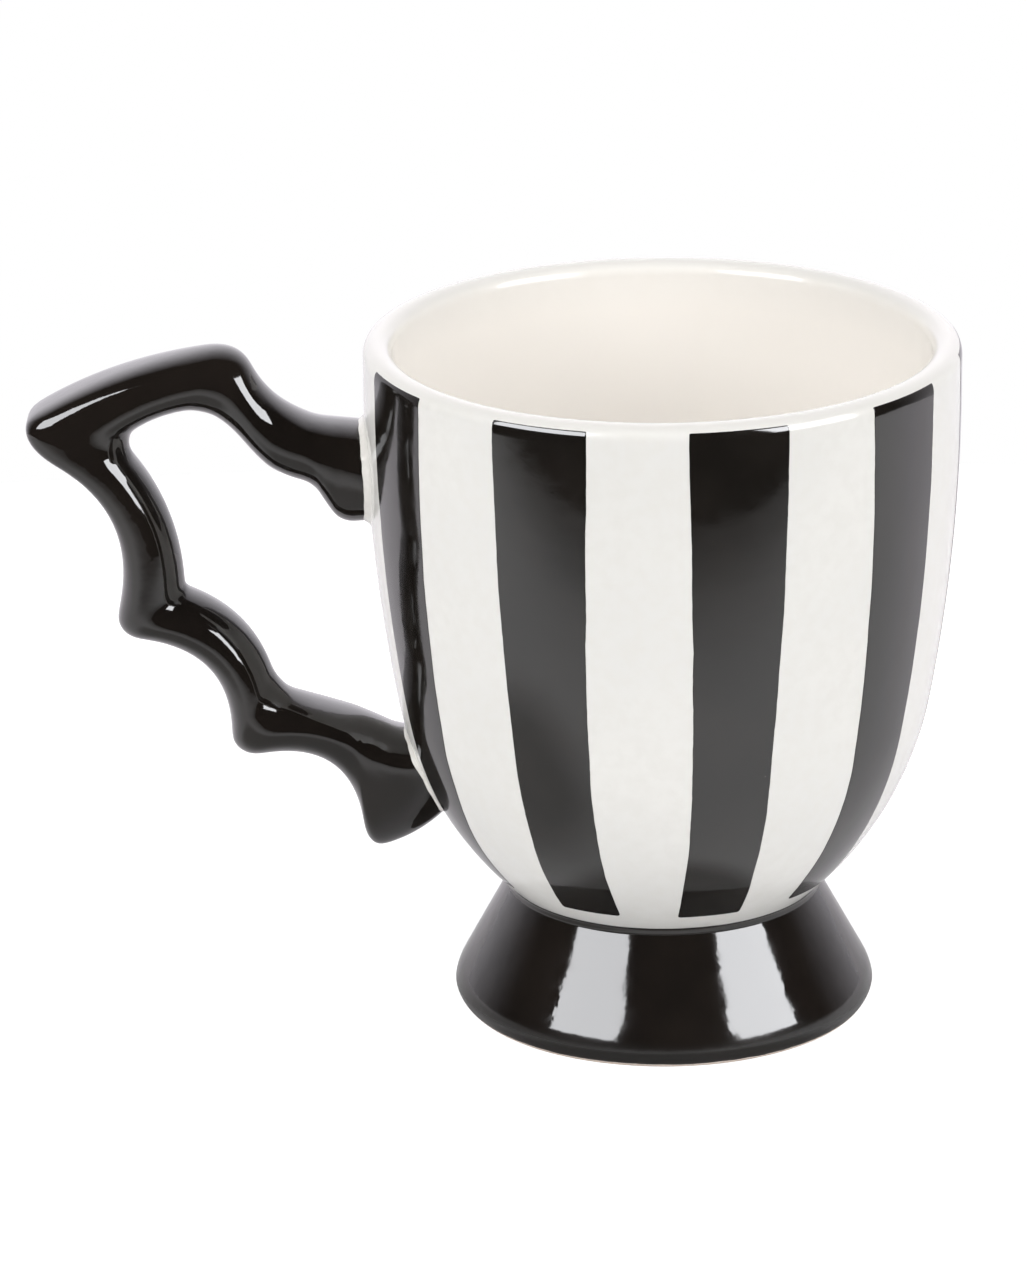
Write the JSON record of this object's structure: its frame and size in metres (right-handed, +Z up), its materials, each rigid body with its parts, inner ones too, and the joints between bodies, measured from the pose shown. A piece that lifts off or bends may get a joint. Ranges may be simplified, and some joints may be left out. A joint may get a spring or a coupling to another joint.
{
  "type": "coffee mug",
  "caption": "Footed ceramic coffee mug with a black and white striped tulip bowl, a flared black foot and a black bat-wing loop handle.",
  "frame": {"origin": "on the mug's axis, in the plane of the ring that the foot stands on", "axes": "+Z up along the mug's axis; the handle points to -X and is centred on the XZ plane; the picture looks along +Y"},
  "size_m": [0.1477, 0.0944, 0.1105],
  "materials": {
    "white_glaze": "gloss",
    "black_glaze": "gloss",
    "white_slip": "gloss",
    "fired_black": "gloss"
  },
  "bodies": {
    "root": {"bowl": "white_glaze", "foot": "black_glaze", "handle": "black_glaze", "foot_slip": "black_glaze", "upper_handle_slip": "white_slip", "lower_handle_slip": "white_slip", "stripe_1": "fired_black", "stripe_2": "fired_black", "stripe_3": "fired_black", "stripe_4": "fired_black", "stripe_5": "fired_black", "stripe_6": "fired_black", "stripe_7": "fired_black", "stripe_8": "fired_black", "stripe_9": "fired_black"}
  },
  "joints": []
}
